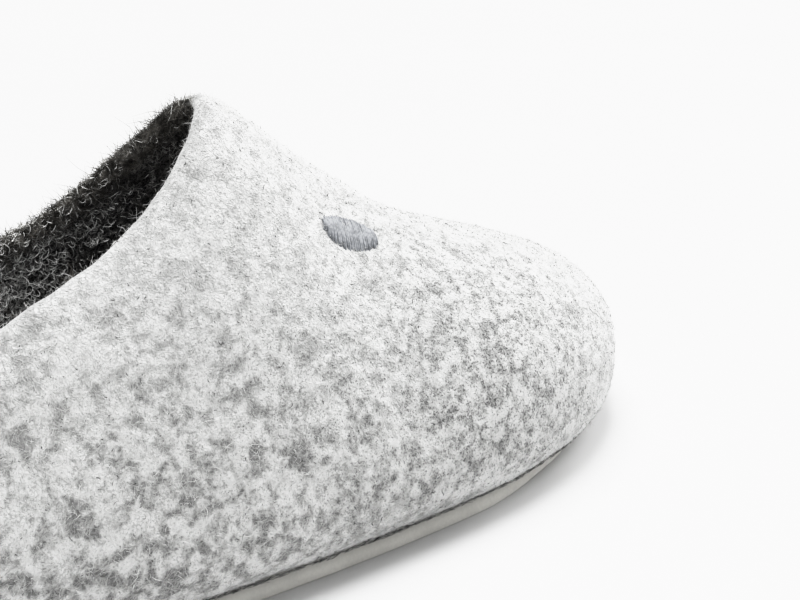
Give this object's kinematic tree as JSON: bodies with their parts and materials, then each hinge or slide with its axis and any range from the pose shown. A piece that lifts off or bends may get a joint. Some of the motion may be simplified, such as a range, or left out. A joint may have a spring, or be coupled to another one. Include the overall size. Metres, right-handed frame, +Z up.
{
  "type": "slipper",
  "caption": "Low open-collared house slipper with a thick hollow felt upper, rounded toe, felt insole and thin flat rubber sole.",
  "frame": {"origin": "On the floor, below the middle of the slipper's length and width", "axes": "+X to the toe, +Y to the big toe side, +Z up"},
  "size_m": [0.268, 0.1, 0.0926],
  "materials": {
    "sole_rubber": "smooth satin grey",
    "grey_felt": "light grey marl wool felt with loose fibres",
    "charcoal_felt": "charcoal wool felt with curly lighter fibres"
  },
  "bodies": {
    "root": {"outsole": "sole_rubber", "upper": "grey_felt", "insole": "charcoal_felt"}
  },
  "joints": []
}
